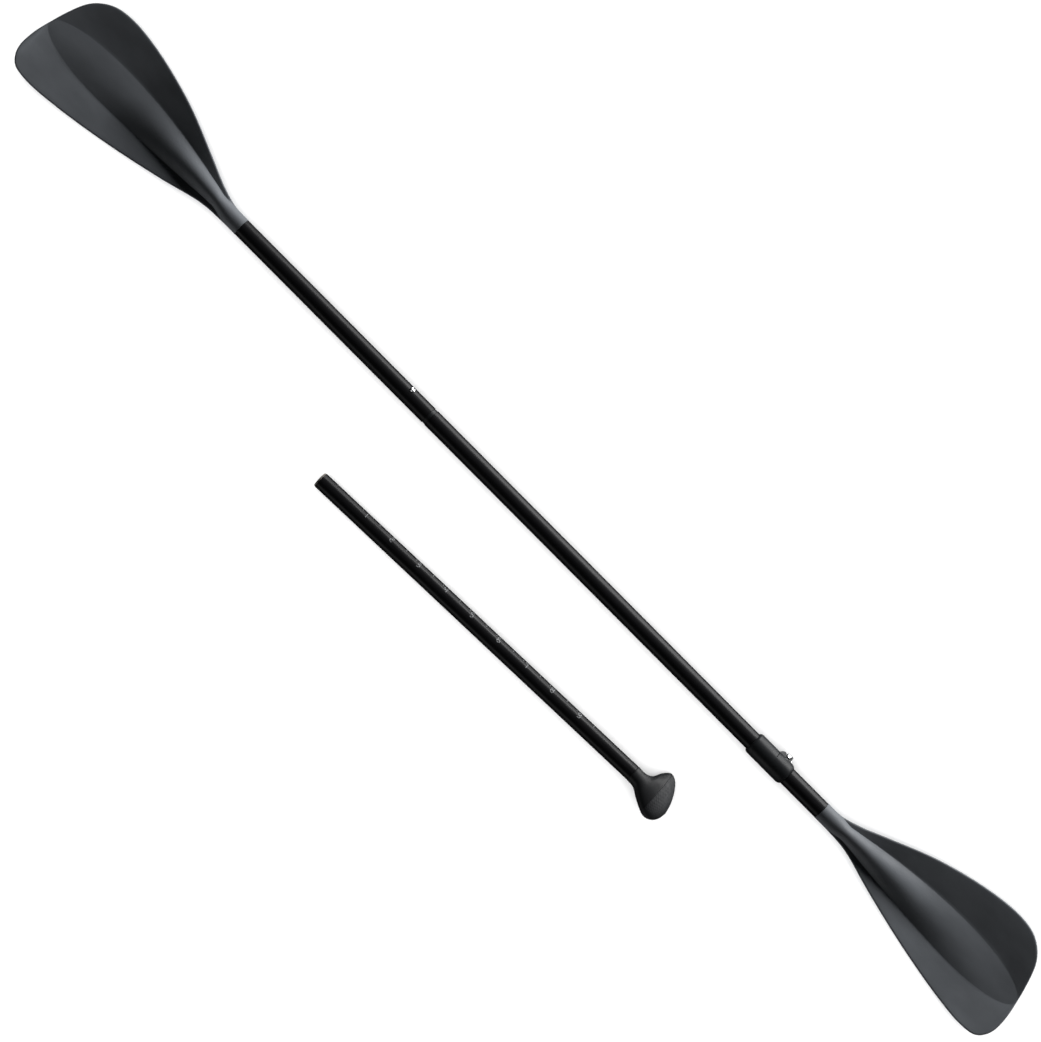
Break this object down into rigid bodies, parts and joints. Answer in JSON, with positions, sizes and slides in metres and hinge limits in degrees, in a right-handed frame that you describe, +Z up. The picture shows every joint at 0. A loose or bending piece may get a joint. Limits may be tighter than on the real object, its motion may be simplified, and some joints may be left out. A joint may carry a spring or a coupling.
{
  "type": "kayak paddle",
  "caption": "Two-in-one paddle: a double-bladed kayak paddle with a snap-button seam and a quick clamp, beside its spare palm-grip shaft for use as a paddleboard paddle.",
  "frame": {"origin": "on the ground under the middle of the whole set's bounding box", "axes": "+X along the paddle's shaft from blade A to blade B, +Z up out of the blades' faces, +Y towards the blades' wide edge"},
  "size_m": [2.1502, 0.3112, 0.0532],
  "materials": {
    "blade_plastic": "satin moulded nylon, fine texture",
    "clamp_plastic": "satin moulded nylon",
    "grip_plastic": "satin moulded plastic",
    "grip_pad": "soft-touch rubber with fine raised dots",
    "shaft_tube": "black anodised, satin",
    "printed_tube": "black anodised, satin, with a pale printed height scale",
    "steel": "polished stainless steel",
    "spring_steel": "plain",
    "end_plug": "moulded, grey",
    "foam": "closed-cell foam"
  },
  "bodies": {
    "main_shaft": {"main_tube": "shaft_tube", "foam_plug_main": "foam", "seam_ferrule": "clamp_plastic", "button_spring": "spring_steel", "tube_a": "shaft_tube", "foam_plug_a": "foam", "blade_a": "blade_plastic", "clamp_collar": "clamp_plastic", "screw_washer": "steel", "thrust_plate": "steel", "barrel_nut": "steel"},
    "snap_button": {"snap_button": "steel"},
    "clamp_screw": {"clamp_screw": "steel"},
    "cam_lever": {"cam_lever": "clamp_plastic"},
    "length_slide": {"sleeve_plug": "end_plug"},
    "blade_b_section": {"inner_sleeve": "shaft_tube", "tube_b": "shaft_tube", "foam_plug_b": "foam", "blade_b": "blade_plastic"},
    "grip_section": {"grip_tube": "printed_tube", "grip_tube_plug": "end_plug", "foam_plug_grip": "foam", "palm_grip": "grip_plastic", "palm_pad": "grip_pad"}
  },
  "joints": [
    {"name": "button_press", "type": "slide", "parent": "main_shaft", "child": "snap_button", "axis": [0, -0.6947, -0.7193], "range_m": [0, 0.0038], "stiffness_N_per_m": 3000, "springref_m": -0.002, "deforming": ["button_spring"]},
    {"name": "lever_open", "type": "hinge", "parent": "main_shaft", "child": "cam_lever", "pos_m": [0.55, 0.06251, 0.00517], "axis": [1, 0, 0], "range_deg": [0, 120]},
    {"name": "screw_turn", "type": "hinge", "parent": "main_shaft", "child": "clamp_screw", "pos_m": [0.55, 0.06781, 0.01435], "axis": [0, 0.5, 0.866], "range_deg": [-180, 180]},
    {"name": "length_adjust", "type": "slide", "parent": "main_shaft", "child": "length_slide", "axis": [1, 0, 0], "range_m": [0, 0.21]},
    {"name": "blade_feather", "type": "hinge", "parent": "length_slide", "child": "blade_b_section", "pos_m": [0.6, 0.0485, 0.0255], "axis": [1, 0, 0], "range_deg": [-90, 90]},
    {"name": "grip_section_lift", "type": "slide", "parent": "main_shaft", "child": "grip_section", "axis": [0, 0, 1], "range_m": [0, 0.15]}
  ]
}
